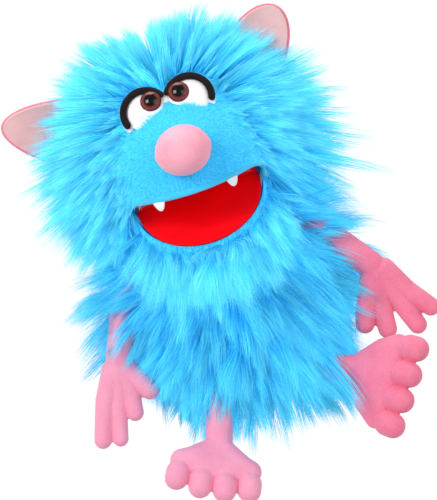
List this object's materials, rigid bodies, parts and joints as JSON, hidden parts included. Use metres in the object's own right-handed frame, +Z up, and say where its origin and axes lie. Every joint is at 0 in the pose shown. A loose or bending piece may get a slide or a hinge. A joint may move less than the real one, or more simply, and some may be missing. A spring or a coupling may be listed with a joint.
{
  "type": "moving mouth puppet",
  "caption": "Furry hand puppet with a round head, a mouth that opens, pink ears, stuffed arms and legs, and an open sleeve at the hem.",
  "frame": {"origin": "centre of the arm sleeve's opening at the hem", "axes": "+Z up along the sleeve, the face looks towards -Y, +X is the puppet's own left"},
  "size_m": [0.3364, 0.2641, 0.4368],
  "materials": {
    "blue_fur": "long pile",
    "blue_plush": "short pile",
    "grey_lining": "smooth",
    "stuffing": "loose fibre",
    "board": "matte",
    "red_felt": "felt",
    "nose_plush": "short pile",
    "white_felt": "felt",
    "black_felt": "felt",
    "eye_plastic": "polished",
    "washer_plastic": "matte",
    "pale_pink_plush": "short pile",
    "pink_plush": "short pile"
  },
  "bodies": {
    "torso": {"body_fur_front": "blue_fur", "body_fur_back": "blue_fur", "body_lining": "grey_lining", "hem_binding": "blue_plush"},
    "neck": {"neck_lining": "grey_lining"},
    "head": {"head_fur_front": "blue_fur", "head_fur_back": "blue_fur", "head_padding": "stuffing", "muzzle_cover": "blue_plush", "upper_mouth_board": "board", "upper_mouth_lining": "red_felt", "finger_pocket": "grey_lining", "mouth_fold": "red_felt", "nose_cover": "nose_plush", "nose_filling": "stuffing", "eye_white_left": "white_felt", "eye_white_right": "white_felt", "eye_rim_left": "black_felt", "eye_rim_right": "black_felt", "safety_eye_left": "eye_plastic", "safety_eye_right": "eye_plastic", "eye_washer_left": "washer_plastic", "eye_washer_right": "washer_plastic", "fang_left": "white_felt", "fang_right": "white_felt"},
    "jaw": {"lower_mouth_board": "board", "lower_mouth_lining": "red_felt", "thumb_pocket": "grey_lining", "jaw_padding": "stuffing", "chin_cover": "blue_fur"},
    "ear_left": {"ear_inner_left": "pale_pink_plush", "ear_back_left": "pink_plush"},
    "arm_left": {"arm_cover_left": "pink_plush", "arm_filling_left": "stuffing"},
    "hand_left": {"hand_left": "pink_plush"},
    "leg_left": {"leg_cover_left": "pink_plush", "leg_filling_left": "stuffing"},
    "foot_left": {"foot_left": "pink_plush"},
    "ear_right": {"ear_inner_right": "pale_pink_plush", "ear_back_right": "pink_plush"},
    "arm_right": {"arm_cover_right": "pink_plush", "arm_filling_right": "stuffing"},
    "hand_right": {"hand_right": "pink_plush"},
    "leg_right": {"leg_cover_right": "pink_plush", "leg_filling_right": "stuffing"},
    "foot_right": {"foot_right": "pink_plush"}
  },
  "joints": [
    {"name": "head_turn", "type": "hinge", "parent": "torso", "child": "neck", "pos_m": [0, 0, 0.14], "axis": [0, 0, 1], "range_deg": [-25, 25]},
    {"name": "head_nod", "type": "hinge", "parent": "neck", "child": "head", "pos_m": [0, -0.003, 0.14], "axis": [1, 0, 0], "range_deg": [-12, 12]},
    {"name": "jaw_open", "type": "hinge", "parent": "head", "child": "jaw", "pos_m": [0, -0.02, 0.192], "axis": [1, 0, 0], "range_deg": [-31, 12]},
    {"name": "ear_left_flop", "type": "hinge", "parent": "head", "child": "ear_left", "pos_m": [0.09381, -0.003, 0.29709], "axis": [0.6428, 0, -0.766], "range_deg": [-25, 20]},
    {"name": "ear_right_flop", "type": "hinge", "parent": "head", "child": "ear_right", "pos_m": [-0.10024, -0.003, 0.28607], "axis": [0.4067, 0, 0.9135], "range_deg": [-25, 20]},
    {"name": "arm_left_swing", "type": "hinge", "parent": "torso", "child": "arm_left", "pos_m": [0.092, -0.044, 0.13], "axis": [0, -1, 0], "range_deg": [-8, 70]},
    {"name": "wrist_left_bend", "type": "hinge", "parent": "arm_left", "child": "hand_left", "pos_m": [0.12938, -0.044, 0.07561], "axis": [0, -1, 0], "range_deg": [-12, 25]},
    {"name": "arm_right_swing", "type": "hinge", "parent": "torso", "child": "arm_right", "pos_m": [-0.092, -0.044, 0.13], "axis": [0, 1, 0], "range_deg": [-3, 75]},
    {"name": "wrist_right_bend", "type": "hinge", "parent": "arm_right", "child": "hand_right", "pos_m": [-0.11811, -0.044, 0.06938], "axis": [0, 1, 0], "range_deg": [-6, 25]},
    {"name": "leg_left_swing", "type": "hinge", "parent": "torso", "child": "leg_left", "pos_m": [0.043, -0.058, 0.004], "axis": [0, -1, 0], "range_deg": [-67, 10]},
    {"name": "ankle_left_bend", "type": "hinge", "parent": "leg_left", "child": "foot_left", "pos_m": [0.0839, -0.058, -0.00929], "axis": [-0.5878, 0, -0.809], "range_deg": [-30, 40]},
    {"name": "leg_right_swing", "type": "hinge", "parent": "torso", "child": "leg_right", "pos_m": [-0.043, -0.058, 0.004], "axis": [0, 1, 0], "range_deg": [-14, 50]},
    {"name": "ankle_right_bend", "type": "hinge", "parent": "leg_right", "child": "foot_right", "pos_m": [-0.057, -0.058, -0.03666], "axis": [-0.8746, 0, 0.4848], "range_deg": [-30, 40]}
  ]
}
